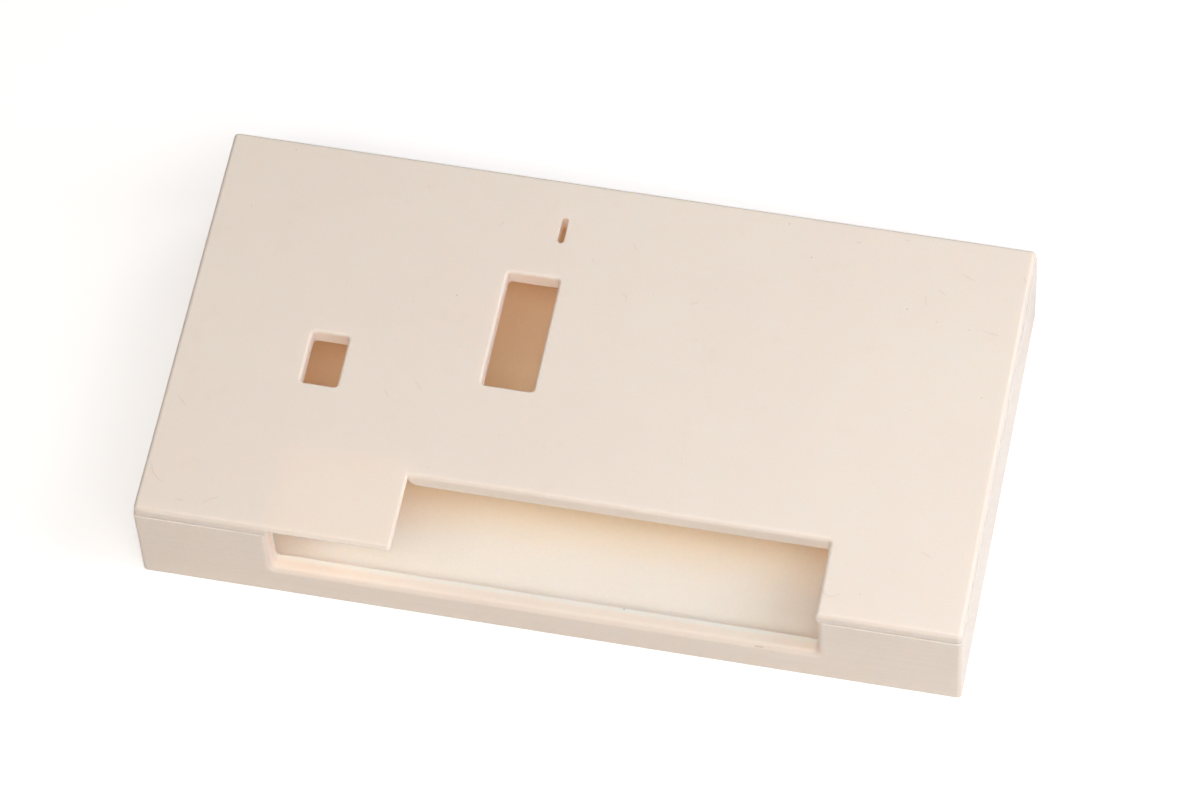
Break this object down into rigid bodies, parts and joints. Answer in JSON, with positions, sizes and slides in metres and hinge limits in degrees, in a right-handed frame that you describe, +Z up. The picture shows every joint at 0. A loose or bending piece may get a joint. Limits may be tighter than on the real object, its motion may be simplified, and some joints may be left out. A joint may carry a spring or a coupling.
{
  "type": "injection moulded plastic housing",
  "caption": "Shallow two-piece moulded plastic housing with an open front, a notched flat lid with rectangular windows and a fine slot.",
  "frame": {"origin": "middle of the underside, on the surface that the housing rests on", "axes": "+X along the length, -Y out of the open front, +Z up through the lid"},
  "size_m": [0.1004, 0.0548, 0.0148],
  "materials": {
    "tub_plastic": "fine matt moulded cream plastic",
    "lid_plastic": "fine matt moulded cream plastic"
  },
  "bodies": {
    "root": {"tub": "tub_plastic", "lid": "lid_plastic"}
  },
  "joints": []
}
